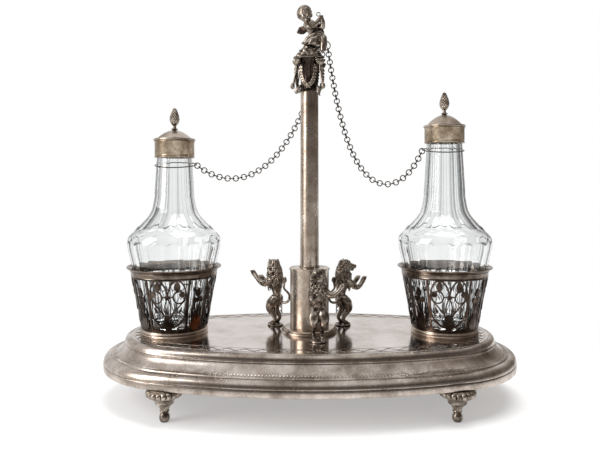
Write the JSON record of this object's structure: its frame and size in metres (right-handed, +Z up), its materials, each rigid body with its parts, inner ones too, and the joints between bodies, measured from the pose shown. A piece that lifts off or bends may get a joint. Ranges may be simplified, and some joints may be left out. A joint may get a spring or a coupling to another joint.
{
  "type": "cruet set",
  "caption": "Footed oval stand with a figured column, pierced bottle holders and chained glass cruets whose lids lift off.",
  "frame": {"origin": "on the table, under the axis of the column, at the centre of the stand", "axes": "+Z up, +X along the length of the stand to the right, -Y to the front"},
  "size_m": [0.302, 0.164, 0.2879],
  "materials": {
    "worn_silver": "raised sheet silver, hand polished, worn and softly tarnished",
    "cast_silver": "cast silver with dark tarnish in the hollows and rubbed high spots",
    "chain_silver": "drawn silver wire, tarnished",
    "cut_glass": "clear cut glass with flat facets on the neck and flutes on the body",
    "brass": "plain turned brass, dull"
  },
  "bodies": {
    "stand": {"base_rim_frame": "worn_silver", "base_shell": "worn_silver", "capital_drops": "cast_silver", "capital_festoons": "cast_silver", "capital_plate": "cast_silver", "capital_scrolls": "cast_silver", "capital_vase": "cast_silver", "chain_eye": "cast_silver", "chain_left": "chain_silver", "chain_right": "chain_silver", "column_tube": "worn_silver", "drum": "worn_silver", "drum_base_ring": "worn_silver", "drum_cap": "worn_silver", "foot_back_left": "worn_silver", "foot_back_right": "worn_silver", "foot_front_left": "worn_silver", "foot_front_right": "worn_silver", "foot_nuts": "brass", "holder_left_floor": "worn_silver", "holder_left_gallery": "worn_silver", "holder_left_lip": "worn_silver", "holder_left_nuts": "brass", "holder_left_ring": "worn_silver", "holder_right_floor": "worn_silver", "holder_right_gallery": "worn_silver", "holder_right_lip": "worn_silver", "holder_right_nuts": "brass", "holder_right_ring": "worn_silver", "lion_front": "cast_silver", "lion_left": "cast_silver", "lion_nuts": "brass", "lion_right": "cast_silver", "mound": "cast_silver", "putto_figure": "cast_silver", "putto_wings": "cast_silver", "tie_rod": "brass", "tie_rod_nut": "brass", "tie_rod_washer": "brass"},
    "cruet_left": {"cruet_left_bottle": "cut_glass", "cruet_left_collar": "worn_silver", "cruet_left_neck_ring": "worn_silver"},
    "cruet_right": {"cruet_right_bottle": "cut_glass", "cruet_right_collar": "worn_silver", "cruet_right_neck_ring": "worn_silver"},
    "lid_left": {"lid_left_bezel": "worn_silver", "lid_left_dome": "worn_silver", "lid_left_finial": "worn_silver"},
    "lid_right": {"lid_right_bezel": "worn_silver", "lid_right_dome": "worn_silver", "lid_right_finial": "worn_silver"}
  },
  "joints": [
    {"name": "cruet_left_lift", "type": "slide", "parent": "stand", "child": "cruet_left", "axis": [0, 0, 1], "range_m": [0, 0.06], "deforming": ["chain_left"]},
    {"name": "cruet_right_lift", "type": "slide", "parent": "stand", "child": "cruet_right", "axis": [0, 0, 1], "range_m": [0, 0.06], "deforming": ["chain_right"]},
    {"name": "lid_left_lift", "type": "slide", "parent": "cruet_left", "child": "lid_left", "axis": [0, 0, 1], "range_m": [0, 0.025]},
    {"name": "lid_right_lift", "type": "slide", "parent": "cruet_right", "child": "lid_right", "axis": [0, 0, 1], "range_m": [0, 0.025]}
  ]
}
